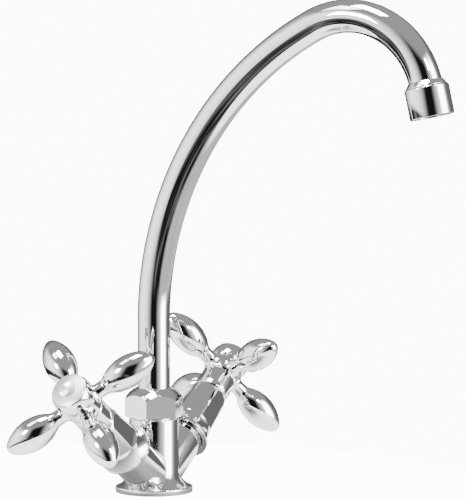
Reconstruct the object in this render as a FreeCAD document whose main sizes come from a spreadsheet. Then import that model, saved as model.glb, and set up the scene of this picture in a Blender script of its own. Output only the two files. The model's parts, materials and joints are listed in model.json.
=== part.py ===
"""Two handle kitchen faucet: a deck body with two raked valve branches and a swivelling spout.

Frame: millimetres, +Z up, origin at the centre of the flange's underside. The spout reaches
towards -Y, the hot valve is on the -X side and the cold valve on the +X side.
"""
import FreeCAD, Part
import math
import os
from types import SimpleNamespace

import Sketcher
from FreeCAD import Placement, Rotation, Vector

# ---------------------------------------------------------------- driving dimensions, mm and degrees
DIMENSIONS = {
    # deck body: flange, column and the neck that carries the spout nut
    "flange_diameter": 48.0,
    "flange_lip": 2.6,
    "flange_edge_round": 0.8,
    "flange_edge_radius": 0.96,
    "flare_height": 9.5,
    "flare_radius": 14.0,
    "column_diameter": 31.0,
    "column_height": 46.0,
    "column_edge": 0.8,
    "neck_diameter": 27.0,
    "neck_length": 10.0,
    "spout_bore_diameter": 18.0,
    "spout_bore_depth": 31.0,
    "gasket_outer_diameter": 43.0,
    "gasket_width": 3.0,
    "gasket_thickness": 1.6,
    # tapped holes in the underside: one stud and two inlet tails
    "stud_hole_diameter": 6.8,
    "stud_hole_depth": 14.0,
    "stud_hole_offset": 9.5,
    "inlet_hole_diameter": 9.0,
    "inlet_hole_depth": 10.0,
    "inlet_hole_spread": 8.5,
    "inlet_hole_offset": 3.0,
    "passage_diameter": 5.0,
    "mixing_height": 28.0,
    # raked branches that carry the valves
    "branch_angle": 34.0,
    "branch_meet_height": 6.5,
    "branch_diameter": 27.0,
    "branch_length": 44.0,
    "socket_diameter": 20.0,
    "socket_depth": 18.0,
    # spout nut and its slip rings
    "nut_across_flats": 32.5,
    "nut_height": 18.0,
    "nut_gap": 1.0,
    "nut_top_land": 0.9,
    "nut_top_plate": 4.4,
    "nut_chamfer": 7.4,
    "nut_dome_radius": 20.0,
    "nut_foot_chamfer": 0.9,
    "nut_turn": 16.0,
    "slip_ring_thickness": 1.0,
    # spout tube and its spigot
    "tube_diameter": 20.2,
    "tube_wall": 1.2,
    "tube_rise": 47.0,
    "tube_long_radius": 207.0,
    "tube_long_turn": 62.5,
    "tube_short_radius": 52.5,
    "tube_short_turn": 104.5,
    "spigot_length": 28.0,
    "spigot_flange_diameter": 24.0,
    "spigot_flange_thickness": 2.5,
    "spigot_socket_length": 11.0,
    "spigot_bore_diameter": 12.6,
    "spigot_ring_spacing": 6.0,
    "spigot_ring_depth": 14.0,
    "o_ring_section": 1.3,
    "o_ring_groove_width": 1.56,
    # outlet: ferrule, aerator housing, washer, insert and screen
    "ferrule_collar_diameter": 25.0,
    "ferrule_collar_height": 3.2,
    "ferrule_collar_edge": 0.15,
    "ferrule_thread_diameter": 24.0,
    "ferrule_thread_length": 8.0,
    "housing_diameter": 27.0,
    "housing_length": 18.6,
    "housing_bore_diameter": 22.0,
    "housing_lip": 1.2,
    "housing_lip_bore_diameter": 19.6,
    "housing_edge": 0.8,
    "aerator_washer_thickness": 1.5,
    "insert_height": 5.6,
    "insert_wall": 1.6,
    "insert_ribs_wide": 1.2,
    "screen_thickness": 0.8,
    "screen_hole_diameter": 2.4,
    "screen_hole_circle": 12.0,
    # ceramic valve
    "valve_washer_thickness": 1.0,
    "valve_hex_across_flats": 21.0,
    "valve_hex_height": 5.0,
    "valve_neck_diameter": 17.0,
    "valve_neck_length": 28.0,
    "valve_tip_diameter": 15.0,
    "valve_tip_length": 4.5,
    "valve_port_width": 7.0,
    "valve_port_height": 3.0,
    "disc_diameter": 15.8,
    "disc_thickness": 3.0,
    "disc_port_diameter": 4.6,
    "disc_port_spread": 4.0,
    "seal_thickness": 2.5,
    "seal_bore_diameter": 9.0,
    "seal_outer_diameter": 15.0,
    "seal_stand_out": 1.0,
    # spindle
    "spindle_diameter": 10.0,
    "spindle_foot_height": 3.6,
    "spindle_square": 6.8,
    "spindle_ring_depth": 18.0,
    "circlip_thickness": 0.9,
    "circlip_width": 2.2,
    "circlip_groove": 1.2,
    # bonnet shroud: a bell with flats cut round it
    "shroud_rim_diameter": 33.6,
    "shroud_rim_height": 2.2,
    "shroud_skirt": 2.0,
    "shroud_flare_height": 10.0,
    "shroud_flare_radius": 15.0,
    "shroud_waist_diameter": 27.4,
    "shroud_top_diameter": 24.6,
    "shroud_shoulder": 3.6,
    "shroud_crown_diameter": 20.0,
    "shroud_crown_radius": 7.0,
    "shroud_top_plate": 5.0,
    "shroud_flat_low": 12.5,
    "shroud_flat_high": 11.3,
    "shroud_flat_foot": 11.0,
    "shroud_flat_count": 8,
    "shroud_wall": 1.3,
    # cross handle: hub and four lobes
    "hub_gap": 2.5,
    "handle_turn_hot": 42.3,
    "handle_turn_cold": 61.0,
    "hub_back": 19.0,
    "hub_back_diameter": 21.0,
    "hub_collar_diameter": 22.4,
    "hub_collar_height": 12.0,
    "hub_groove": 0.9,
    "hub_barrel_diameter": 23.0,
    "hub_barrel_front": 4.3,
    "hub_ball_diameter": 25.4,
    "hub_ball_centre": 10.0,
    "hub_front_diameter": 22.4,
    "hub_core_front": 4.0,
    "hub_core_back": 7.5,
    "hub_back_bore_diameter": 18.0,
    "hub_front_bore_diameter": 14.0,
    "lobe_neck_diameter": 9.6,
    "lobe_neck_blend": 6.0,
    "lobe_back_radius": 26.0,
    "lobe_diameter": 19.8,
    "lobe_widest": 34.0,
    "lobe_tip": 52.6,
    "lobe_tip_radius": 5.2,
    # index button and handle screw
    "button_diameter": 21.4,
    "button_edge": 0.7,
    "button_dome": 1.3,
    "button_spigot_length": 4.0,
    "screw_diameter": 5.0,
    "screw_length": 10.0,
    "screw_head_diameter": 9.0,
    "screw_head_top_diameter": 6.3,
    "screw_head_height": 2.8,
    # clearances
    "screw_hole_spare": 0.5,
    "thread_clearance": 0.05,
    "running_clearance": 0.07,
    "axial_clearance": 0.05,
    "fit_clearance": 0.1,
    "skirt_clearance": 0.5,
}

FULL_TURN = 360.0
HEX_SIDES = 6
SQUARE_SIDES = 4
LOBE_COUNT = 4
SCREEN_HOLE_COUNT = 8
SIDES = (("hot", -1), ("cold", 1))


# ---------------------------------------------------------------- sizes that keep their sheet formula
class Size:
    """A number together with the sheet expression that gives it."""

    def __init__(self, value, text):
        self.value = value
        self.text = text

    def __add__(self, other):
        other = as_size(other)
        return Size(self.value + other.value, f"({self.text} + {other.text})")

    def __sub__(self, other):
        other = as_size(other)
        return Size(self.value - other.value, f"({self.text} - {other.text})")

    def __mul__(self, other):
        other = as_size(other)
        return Size(self.value * other.value, f"({self.text} * {other.text})")

    def __truediv__(self, other):
        other = as_size(other)
        return Size(self.value / other.value, f"({self.text} / {other.text})")

    __radd__ = __add__
    __rmul__ = __mul__


def as_size(number):
    """Let plain numbers take part in size arithmetic."""
    if isinstance(number, Size):
        return number
    return Size(float(number), repr(float(number)))


def root(size):
    """Square root of a size."""
    return Size(math.sqrt(size.value), f"sqrt({size.text})")


def sine(angle):
    """Sine of an angle in degrees."""
    return Size(math.sin(math.radians(angle.value)), f"sin({angle.text} * 1 deg)")


def cosine(angle):
    """Cosine of an angle in degrees."""
    return Size(math.cos(math.radians(angle.value)), f"cos({angle.text} * 1 deg)")


def write_sheet(document):
    """Put every driving dimension in the sheet and return them as sizes."""
    sheet = document.addObject("Spreadsheet::Sheet", "dims")
    sizes = SimpleNamespace()
    for row, (name, number) in enumerate(DIMENSIONS.items(), start=1):
        sheet.set(f"A{row}", name)
        sheet.set(f"B{row}", str(number))
        sheet.setAlias(f"B{row}", name)
        setattr(sizes, name, Size(float(number), f"dims.{name}"))
    document.recompute()
    return sizes


doc = FreeCAD.newDocument("faucet")
d = write_sheet(doc)


# ---------------------------------------------------------------- sketch and body helpers
def bind(target, path, size):
    """Tie one property or constraint to the sheet."""
    target.setExpression(path, size.text)


def new_body(label):
    """A body whose label names the sub-part."""
    body = doc.addObject("PartDesign::Body", label)
    body.Label = label
    return body


def origin_feature(body, role):
    """One of the body's own origin planes or axes, found by its role."""
    for feature in body.Origin.OriginFeatures:
        if feature.Role == role:
            return feature
    raise ValueError(role)


def new_sketch(body, name, role, lift=None):
    """A sketch on an origin plane, moved along the plane's normal by lift."""
    sketch = body.newObject("Sketcher::SketchObject", f"{body.Name}_{name}")
    sketch.AttachmentSupport = [(origin_feature(body, role), "")]
    sketch.MapMode = "FlatFace"
    if lift is not None:
        sketch.AttachmentOffset = Placement(Vector(0, 0, lift.value), Rotation())
        bind(sketch, ".AttachmentOffset.Base.z", lift)
    return sketch


def constrain(sketch, kind, places, size):
    """Add a dimension and tie it to the sheet."""
    index = sketch.addConstraint(Sketcher.Constraint(kind, *places, size.value))
    bind(sketch, f"Constraints[{index}]", size)


def pin_point(sketch, edge, end, across, up):
    """Fix one end of an edge at its two coordinates."""
    for size, kind, axis in ((across, "DistanceX", -2), (up, "DistanceY", -1)):
        if isinstance(size, Size):
            constrain(sketch, kind, (edge, end), size)
        else:
            sketch.addConstraint(Sketcher.Constraint("PointOnObject", edge, end, axis))


def arc_between(start, finish, radius, side):
    """A minor arc from start to finish that bulges to the left (side 1) or right (side -1)."""
    chord = finish - start
    middle = (start + finish) * 0.5
    leftward = Vector(-chord.y, chord.x, 0).normalize()
    depth = math.sqrt(radius ** 2 - (chord.Length / 2) ** 2)
    centre = middle - leftward * (side * depth)
    first, last = (finish, start) if side > 0 else (start, finish)
    begin = math.atan2(first.y - centre.y, first.x - centre.x)
    end = math.atan2(last.y - centre.y, last.x - centre.x)
    circle = Part.Circle(centre, Vector(0, 0, 1), radius)
    return Part.ArcOfCircle(circle, begin, end)


def coordinate(size):
    """The number of a coordinate, where a plain 0 means on the axis."""
    return size.value if isinstance(size, Size) else 0.0


def draw(sketch, corners, closed=True):
    """Draw an outline through corners (x, y) or (x, y, radius, side).

    A corner with a radius starts an arc that bulges to that side. A plain 0 lies on the axis.
    """
    points = [Vector(coordinate(corner[0]), coordinate(corner[1]), 0) for corner in corners]
    count = len(corners) if closed else len(corners) - 1
    edges = []
    for index in range(count):
        start = points[index]
        finish = points[(index + 1) % len(points)]
        if len(corners[index]) == 2:
            edge = sketch.addGeometry(Part.LineSegment(start, finish))
            edges.append((edge, 1, 2))
            continue
        radius, side = corners[index][2:]
        edge = sketch.addGeometry(arc_between(start, finish, radius.value, side))
        ends = (2, 1) if side > 0 else (1, 2)
        edges.append((edge, *ends))
    for index, (edge, start_end, finish_end) in enumerate(edges):
        pin_point(sketch, edge, start_end, corners[index][0], corners[index][1])
        if index + 1 < len(edges) or closed:
            after, after_start, _ = edges[(index + 1) % len(edges)]
            meeting = Sketcher.Constraint("Coincident", edge, finish_end, after, after_start)
            sketch.addConstraint(meeting)
        else:
            pin_point(sketch, edge, finish_end, corners[-1][0], corners[-1][1])
        if len(corners[index]) == 4:
            constrain(sketch, "Radius", (edge,), corners[index][2])
    return sketch


def draw_circle(sketch, diameter, across=0, up=0):
    """Add a circle of a given diameter about a point."""
    centre = Vector(coordinate(across), coordinate(up), 0)
    edge = sketch.addGeometry(Part.Circle(centre, Vector(0, 0, 1), diameter.value / 2))
    pin_point(sketch, edge, 3, across, up)
    constrain(sketch, "Diameter", (edge,), diameter)
    return sketch


def turn(body, name, corners, kind="Revolution", axis="V_Axis"):
    """Revolve an outline drawn in the body's XZ plane."""
    sketch = draw(new_sketch(body, f"{name}_outline", "XZ_Plane"), corners)
    feature = body.newObject(f"PartDesign::{kind}", f"{body.Name}_{name}")
    feature.Profile = sketch
    feature.ReferenceAxis = (sketch, [axis])
    feature.Angle = FULL_TURN
    return feature


def turned_body(label, corners):
    """A body that is one revolved outline."""
    body = new_body(label)
    turn(body, "turned", corners)
    return body


def extrude(body, name, sketch, length, kind="Pad"):
    """Pad or pocket a sketch by a length."""
    feature = body.newObject(f"PartDesign::{kind}", f"{body.Name}_{name}")
    feature.Profile = sketch
    feature.Length = length.value
    bind(feature, "Length", length)
    return feature


def polar_pattern(body, feature, count):
    """Repeat a feature round the body's Z axis and make it the body's result."""
    pattern = body.newObject("PartDesign::PolarPattern", f"{feature.Name}_round")
    pattern.Originals = [feature]
    pattern.Axis = (origin_feature(body, "Z_Axis"), [""])
    pattern.Angle = FULL_TURN
    pattern.Occurrences = count
    body.Tip = pattern
    return pattern


def corner_reach(sides, across_flats):
    """How far a regular polygon's corners stand from its centre."""
    return across_flats / (2 * math.cos(math.pi / sides))


def regular_outline(sketch, sides, across_flats, turn_angle=0.0):
    """A regular polygon about the sketch's origin, given across its flats."""
    reach = corner_reach(sides, across_flats)
    corners = []
    for index in range(sides):
        angle = math.radians(turn_angle) + 2 * math.pi * (index + 0.5) / sides
        corners.append((reach * math.cos(angle), reach * math.sin(angle)))
    return draw(sketch, corners)


def cylinder(name, diameter, length, placement):
    """A plain round primitive for building or cutting."""
    primitive = doc.addObject("Part::Cylinder", name)
    primitive.Radius = diameter.value / 2
    primitive.Height = length.value
    bind(primitive, "Radius", diameter / 2)
    bind(primitive, "Height", length)
    primitive.Placement = placement
    return primitive


def between(start, finish):
    """Placement of a Z-long primitive that runs from start to finish."""
    return Placement(start, Rotation(Vector(0, 0, 1), finish - start))


def joined(name, shapes):
    """One shape fused from several."""
    fuse = doc.addObject("Part::MultiFuse", name)
    fuse.Shapes = shapes
    return fuse


def cut(name, base, tool):
    """A base shape less a tool shape."""
    result = doc.addObject("Part::Cut", name)
    result.Base = base
    result.Tool = tool
    return result


def ring(label, inner, outer, low, high):
    """A plain washer between two diameters and two heights."""
    return turned_body(label, [
        (inner / 2, low), (outer / 2, low), (outer / 2, high), (inner / 2, high)])


# ---------------------------------------------------------------- heights and places that pieces share
nut_foot = d.column_height + d.nut_gap
nut_top = nut_foot + d.nut_height
nut_shoulder = nut_top - d.nut_top_plate
neck_top = d.column_height + d.neck_length
spigot_flange_low = neck_top + d.slip_ring_thickness + d.axial_clearance
tube_foot = spigot_flange_low + d.spigot_flange_thickness
upper_ring_low = nut_shoulder - d.slip_ring_thickness
tube_bore_diameter = d.tube_diameter - 2 * d.tube_wall

valve_seat = d.branch_length - d.socket_depth
valve_face = d.branch_length + d.valve_washer_thickness
valve_hex_top = valve_face + d.valve_hex_height
valve_hex_corner = corner_reach(HEX_SIDES, d.valve_hex_across_flats)
valve_neck_top = valve_hex_top + d.valve_neck_length
valve_top = valve_neck_top + d.valve_tip_length
lower_disc_low = valve_seat + d.seal_thickness
upper_disc_low = lower_disc_low + d.disc_thickness + d.axial_clearance
spindle_foot_low = upper_disc_low + d.disc_thickness
spindle_foot_top = spindle_foot_low + d.spindle_foot_height
shroud_foot = d.branch_length - d.shroud_skirt
shroud_top = valve_neck_top + d.shroud_top_plate
hub_back_height = shroud_top + d.hub_gap
handle_reach = hub_back_height + d.hub_back
gasket_inner_diameter = d.gasket_outer_diameter - 2 * d.gasket_width


def branch_frame(side, turn_angle=0.0):
    """Placement whose Z axis runs outward along one branch."""
    lean = Rotation(Vector(0, 1, 0), side * (90.0 - d.branch_angle.value))
    spin = Rotation(Vector(0, 0, 1), turn_angle)
    return Placement(Vector(0, 0, d.branch_meet_height.value), lean * spin)


def along_branch(side, distance):
    """The point on a branch's axis at a distance from where the two axes meet."""
    return branch_frame(side).multVec(Vector(0, 0, distance))


# ---------------------------------------------------------------- deck body
def flange_outline():
    """Half section of flange, flare, column and threaded neck."""
    base_radius = d.flange_diameter / 2
    column_radius = d.column_diameter / 2
    neck_radius = d.neck_diameter / 2
    flare_top = d.flange_lip + d.flare_height
    return [
        (0, 0),
        (base_radius, 0),
        (base_radius, d.flange_lip - d.flange_edge_round, d.flange_edge_radius, -1),
        (base_radius - d.flange_edge_round, d.flange_lip, d.flare_radius, 1),
        (column_radius, flare_top),
        (column_radius, d.column_height - d.column_edge),
        (column_radius - d.column_edge, d.column_height),
        (neck_radius, d.column_height),
        (neck_radius, neck_top),
        (0, neck_top)]


def branch_cuts(name, side):
    """Valve socket, inlet passage, mixing passage and inlet hole of one branch."""
    inlet = Vector(side * d.inlet_hole_spread.value, d.inlet_hole_offset.value, 0)
    inlet_end = inlet + Vector(0, 0, d.inlet_hole_depth.value - d.passage_diameter.value / 2)
    seat = along_branch(side, valve_seat.value)
    mixing_start = Vector(0, 0, d.mixing_height.value)
    mixing_end = mixing_start + Vector(seat.x, 0, 0)
    socket = branch_frame(side)
    socket.Base = seat
    runs = [
        cylinder(f"{name}_socket", d.socket_diameter, d.socket_depth * 2, socket),
        cylinder(f"{name}_inlet_hole", d.inlet_hole_diameter, d.inlet_hole_depth,
                 Placement(inlet, Rotation()))]
    passages = (("inlet_passage", inlet_end, seat), ("mixing_passage", mixing_start, mixing_end))
    for label, start, end in passages:
        length = as_size((end - start).Length)
        runs.append(cylinder(f"{name}_{label}", d.passage_diameter, length, between(start, end)))
    return runs


def make_body_casting():
    """Flange, column and both branches, bored for valves, spigot, stud and inlets."""
    column = turned_body("column_blank", flange_outline())
    branches = []
    cuts = []
    for name, side in SIDES:
        blank = cylinder(f"{name}_branch", d.branch_diameter, d.branch_length, branch_frame(side))
        branches.append(blank)
        cuts += branch_cuts(name, side)
    blank = joined("casting_blank", [column, *branches])
    spout_bore = Placement(Vector(0, 0, neck_top.value - d.spout_bore_depth.value), Rotation())
    cuts.append(cylinder("spout_bore", d.spout_bore_diameter, d.spout_bore_depth * 2, spout_bore))
    stud = Placement(Vector(0, -d.stud_hole_offset.value, 0), Rotation())
    cuts.append(cylinder("stud_hole", d.stud_hole_diameter, d.stud_hole_depth, stud))
    cuts.append(ring("gasket_groove", gasket_inner_diameter, d.gasket_outer_diameter, 0,
                     d.gasket_thickness))
    under_deck = Placement(Vector(0, 0, -d.flange_diameter.value), Rotation())
    cuts.append(cylinder("under_deck", d.flange_diameter * 2, d.flange_diameter, under_deck))
    casting = cut("body_casting", blank, joined("casting_cuts", cuts))
    casting.Label = "body_casting"
    return casting


def make_spout_nut():
    """Hexagon nut: six flats under a domed 45 degree chamfer, threaded below, plain bore above."""
    corner = corner_reach(HEX_SIDES, d.nut_across_flats)
    thread = d.neck_diameter / 2 + d.thread_clearance
    tube_hole = d.tube_diameter / 2 + d.fit_clearance
    land = tube_hole + d.nut_top_land
    body = new_body("spout_nut_turned")
    turn(body, "turned", [
        (thread, nut_foot),
        (corner - d.nut_foot_chamfer, nut_foot),
        (corner, nut_foot + d.nut_foot_chamfer),
        (corner, nut_top - d.nut_chamfer, d.nut_dome_radius, -1),
        (land, nut_top),
        (tube_hole, nut_top),
        (tube_hole, nut_shoulder),
        (thread, nut_shoulder)])
    hexagon = new_body("spout_nut_hexagon")
    flats = new_sketch(hexagon, "flats", "XY_Plane", nut_foot)
    regular_outline(flats, HEX_SIDES, d.nut_across_flats, d.nut_turn.value - FULL_TURN / HEX_SIDES / 2)
    extrude(hexagon, "pad", flats, d.nut_height)
    nut = doc.addObject("Part::MultiCommon", "spout_nut")
    nut.Shapes = [hexagon, body]
    nut.Label = "spout_nut"
    return nut


def make_root_rings():
    """Base gasket and the two slip rings that the spout's flange turns between."""
    neck_bore = d.spout_bore_diameter + 2 * d.fit_clearance
    tube_hole = d.tube_diameter + 2 * d.fit_clearance
    return [
        ring("base_gasket", gasket_inner_diameter + d.fit_clearance,
             d.gasket_outer_diameter - d.fit_clearance, 0, d.gasket_thickness),
        ring("lower_slip_ring", neck_bore, d.spigot_flange_diameter, neck_top,
             neck_top + d.slip_ring_thickness),
        ring("upper_slip_ring", tube_hole, d.neck_diameter, upper_ring_low, nut_shoulder)]


# ---------------------------------------------------------------- valve of one branch
def make_valve_body(name, frame):
    """Turned brass valve body with a hexagon, side ports, a disc chamber and a spindle bore."""
    shank = d.socket_diameter / 2 - d.thread_clearance
    chamber = d.disc_diameter / 2 + d.fit_clearance
    bore = d.spindle_diameter / 2 + d.running_clearance
    shank_foot = valve_seat + d.seal_stand_out
    body = new_body(f"{name}_valve_turned")
    turn(body, "turned", [
        (chamber, shank_foot),
        (shank, shank_foot),
        (shank, valve_hex_top),
        (d.valve_neck_diameter / 2, valve_hex_top),
        (d.valve_neck_diameter / 2, valve_neck_top),
        (d.valve_tip_diameter / 2, valve_neck_top),
        (d.valve_tip_diameter / 2, valve_top),
        (bore, valve_top),
        (bore, spindle_foot_top + d.axial_clearance),
        (chamber, spindle_foot_top + d.axial_clearance)])
    ports = new_sketch(body, "ports", "XZ_Plane")
    half = d.valve_port_width / 2
    draw(ports, [
        (half * -1, spindle_foot_low), (half, spindle_foot_low),
        (half, spindle_foot_low + d.valve_port_height),
        (half * -1, spindle_foot_low + d.valve_port_height)])
    pocket = extrude(body, "port_pocket", ports, d.socket_diameter * 2, "Pocket")
    pocket.Midplane = True
    hexagon = new_body(f"{name}_valve_hexagon")
    flats = new_sketch(hexagon, "flats", "XY_Plane", valve_face)
    regular_outline(flats, HEX_SIDES, d.valve_hex_across_flats)
    draw_circle(flats, d.spindle_diameter + 4 * d.running_clearance)
    extrude(hexagon, "pad", flats, d.valve_hex_height)
    valve = joined(f"{name}_valve_body", [body, hexagon])
    valve.Label = f"{name}_valve_body"
    valve.Placement = frame
    return valve


def make_disc(label, low, frame):
    """Ceramic disc with its two ports."""
    body = new_body(label)
    outline = new_sketch(body, "disc", "XY_Plane", low)
    draw_circle(outline, d.disc_diameter)
    for side in (-1, 1):
        draw_circle(outline, d.disc_port_diameter, 0, d.disc_port_spread * side)
    extrude(body, "pad", outline, d.disc_thickness)
    body.Placement = frame
    return body


def make_shroud(name, frame):
    """Chromed bell over the valve: a flared rim, a long waist with flats, and a rounded crown."""
    rim = d.shroud_rim_diameter / 2
    waist = d.shroud_waist_diameter / 2
    top = d.shroud_top_diameter / 2
    crown = d.shroud_crown_diameter / 2
    skirt = d.branch_diameter / 2 + d.skirt_clearance
    tip_hole = d.valve_tip_diameter / 2 + d.thread_clearance
    chamber = d.shroud_flat_high - d.shroud_wall
    rim_top = shroud_foot + d.shroud_rim_height
    flat_foot = rim_top + d.shroud_flat_foot
    hex_corner = valve_hex_corner + d.fit_clearance
    hex_room_top = valve_hex_top + d.fit_clearance
    body = new_body(f"{name}_bonnet_shroud")
    turn(body, "bell", [
        (skirt, shroud_foot),
        (rim, shroud_foot),
        (rim, rim_top, d.shroud_flare_radius, 1),
        (waist, rim_top + d.shroud_flare_height),
        (top, shroud_top - d.shroud_shoulder, d.shroud_crown_radius, -1),
        (crown, shroud_top),
        (tip_hole, shroud_top),
        (tip_hole, valve_neck_top),
        (chamber, valve_neck_top),
        (chamber, hex_room_top + (hex_corner - chamber)),
        (hex_corner, hex_room_top),
        (hex_corner, d.branch_length),
        (skirt, d.branch_length)])
    flat = draw(new_sketch(body, "flat_face", "XZ_Plane"), [
        (rim, flat_foot - (rim - d.shroud_flat_low)),
        (rim, shroud_top),
        (d.shroud_flat_high, shroud_top),
        (d.shroud_flat_low, flat_foot)])
    pocket = extrude(body, "flat", flat, d.shroud_rim_diameter, "Pocket")
    pocket.Midplane = True
    doc.recompute()
    polar_pattern(body, pocket, int(d.shroud_flat_count.value))
    body.Placement = frame
    return body


def make_valve(name, side):
    """Everything that stays still in one branch."""
    frame = branch_frame(side)
    washer = ring(f"{name}_valve_washer", d.socket_diameter + d.fit_clearance,
                  2 * (valve_hex_corner - d.fit_clearance), d.branch_length, valve_face)
    seal = ring(f"{name}_seat_seal", d.seal_bore_diameter, d.seal_outer_diameter, valve_seat, lower_disc_low)
    for piece in (washer, seal):
        piece.Placement = frame
    return [
        make_valve_body(name, frame), washer, make_shroud(name, frame), seal,
        make_disc(f"{name}_lower_disc", lower_disc_low, frame)]


# ---------------------------------------------------------------- handle set that turns on one branch
def torus_ring(label, centre_radius, heights):
    """O-rings of one size at several heights, as separate solids in one piece group."""
    rings = []
    for index, height in enumerate(heights, start=1):
        torus = doc.addObject("Part::Torus", f"{label}_{index}")
        torus.Radius1 = centre_radius.value
        torus.Radius2 = d.o_ring_section.value / 2
        bind(torus, "Radius1", centre_radius)
        bind(torus, "Radius2", d.o_ring_section / 2)
        torus.Placement = Placement(Vector(0, 0, height.value), Rotation())
        rings.append(torus)
    group = doc.addObject("Part::Compound", label)
    group.Links = rings
    group.Label = label
    return group


def make_spindle(name, frame):
    """Spindle: disc driver at its foot, two ring grooves, circlip groove and a square head."""
    stem = d.spindle_diameter / 2
    foot = d.disc_diameter / 2
    groove = stem - d.o_ring_section
    square_low = handle_reach - d.hub_core_back - d.axial_clearance
    clip_low = valve_top + d.axial_clearance
    clip_high = clip_low + d.circlip_thickness + 2 * d.axial_clearance
    outline = [(0, spindle_foot_low), (foot, spindle_foot_low)]
    outline += [(foot, spindle_foot_top), (stem, spindle_foot_top)]
    for height in spindle_ring_heights():
        groove_low = height - d.o_ring_groove_width / 2
        groove_high = height + d.o_ring_groove_width / 2
        outline += [(stem, groove_low), (groove, groove_low)]
        outline += [(groove, groove_high), (stem, groove_high)]
    clip_root = stem - d.circlip_groove
    outline += [(stem, clip_low), (clip_root, clip_low), (clip_root, clip_high), (stem, clip_high)]
    outline += [(stem, square_low), (0, square_low)]
    body = new_body(f"{name}_spindle")
    turn(body, "stem", outline)
    square = new_sketch(body, "square", "XY_Plane", square_low)
    regular_outline(square, SQUARE_SIDES, d.spindle_square)
    extrude(body, "head", square, d.hub_core_back)
    tapping = new_sketch(body, "tapping", "XY_Plane", square_low + d.hub_core_back)
    draw_circle(tapping, d.screw_diameter + 2 * d.thread_clearance)
    extrude(body, "tapped_hole", tapping, d.screw_length + d.screw_hole_spare, "Pocket")
    body.Placement = frame
    return body


def spindle_ring_heights():
    """Heights of the spindle's two O-rings."""
    first = valve_neck_top - d.spindle_ring_depth
    return [first, first + d.spigot_ring_spacing]


def hub_outline():
    """Half section of the handle's hub: collar, barrel, ball front, and the bores at both ends."""
    ball = d.hub_ball_diameter / 2
    front = d.hub_front_diameter / 2
    barrel = d.hub_barrel_diameter / 2
    collar = d.hub_collar_diameter / 2
    groove = collar - d.hub_groove
    middle = handle_reach
    collar_top = hub_back_height + d.hub_collar_height
    ball_centre = middle + d.hub_ball_centre
    ball_low = ball_centre - root(ball * ball - groove * groove)
    ball_high = ball_centre + root(ball * ball - front * front)
    screw_hole = d.screw_diameter / 2 + d.fit_clearance
    return [
        (d.hub_back_bore_diameter / 2, hub_back_height),
        (d.hub_back_diameter / 2, hub_back_height),
        (collar, hub_back_height + (collar - d.hub_back_diameter / 2)),
        (collar, collar_top),
        (groove, collar_top + d.hub_groove),
        (barrel, collar_top + d.hub_groove * 2),
        (barrel, middle + d.hub_barrel_front),
        (groove, ball_low, d.hub_ball_diameter / 2, -1),
        (ball, ball_centre, d.hub_ball_diameter / 2, -1),
        (front, ball_high),
        (d.hub_front_bore_diameter / 2, ball_high),
        (d.hub_front_bore_diameter / 2, middle + d.hub_core_front),
        (screw_hole, middle + d.hub_core_front),
        (screw_hole, middle - d.hub_core_back),
        (d.hub_back_bore_diameter / 2, middle - d.hub_core_back)]


def lobe_outline():
    """Half section of one lobe: straight neck, concave blend, long back arc, front arc and round tip.

    All arcs meet tangentially. The back and front arcs meet at the widest point, the blend touches
    the neck and the back arc, and the tip arc touches the front arc from inside.
    """
    neck = d.lobe_neck_diameter / 2
    wide = d.lobe_diameter / 2
    swell = wide - neck
    reach = d.lobe_back_radius + d.lobe_neck_blend
    blend_start = d.lobe_widest - root(2 * reach * swell - swell * swell)
    share = d.lobe_back_radius / reach
    blend_end = d.lobe_widest - (d.lobe_widest - blend_start) * share
    blend_height = wide - d.lobe_back_radius + (reach - swell) * share
    tip_centre = d.lobe_tip - d.lobe_tip_radius
    nose = tip_centre - d.lobe_widest
    front_radius = (nose * nose + wide * wide - d.lobe_tip_radius * d.lobe_tip_radius) / (
        2 * (wide - d.lobe_tip_radius))
    tip_share = d.lobe_tip_radius / (front_radius - d.lobe_tip_radius)
    root_start = d.hub_front_bore_diameter / 2
    return [
        (root_start, 0),
        (root_start, neck),
        (blend_start, neck, d.lobe_neck_blend, -1),
        (blend_end, blend_height, d.lobe_back_radius, 1),
        (d.lobe_widest, wide, front_radius, 1),
        (tip_centre + nose * tip_share, (front_radius - wide) * tip_share, d.lobe_tip_radius, 1),
        (d.lobe_tip, 0)]


def make_cross_handle(name, frame):
    """Cast cross handle: one turned hub with four egg-shaped lobes and a square socket."""
    body = new_body(f"{name}_cross_handle")
    lobe_sketch = new_sketch(body, "lobe_outline", "XZ_Plane")
    lobe_sketch.AttachmentOffset = Placement(Vector(0, handle_reach.value, 0), Rotation())
    bind(lobe_sketch, ".AttachmentOffset.Base.y", handle_reach)
    draw(lobe_sketch, lobe_outline())
    turn(body, "hub", hub_outline())
    lobe = body.newObject("PartDesign::Revolution", f"{name}_lobe")
    lobe.Profile = lobe_sketch
    lobe.ReferenceAxis = (lobe_sketch, ["H_Axis"])
    lobe.Angle = FULL_TURN
    doc.recompute()
    polar_pattern(body, lobe, LOBE_COUNT)
    socket = new_sketch(body, "socket", "XY_Plane", handle_reach - d.hub_core_back)
    regular_outline(socket, SQUARE_SIDES, d.spindle_square + 2 * d.fit_clearance)
    pocket = extrude(body, "square_socket", socket, d.hub_core_back, "Pocket")
    pocket.Reversed = True
    body.Tip = pocket
    body.Placement = frame
    return body


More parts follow.
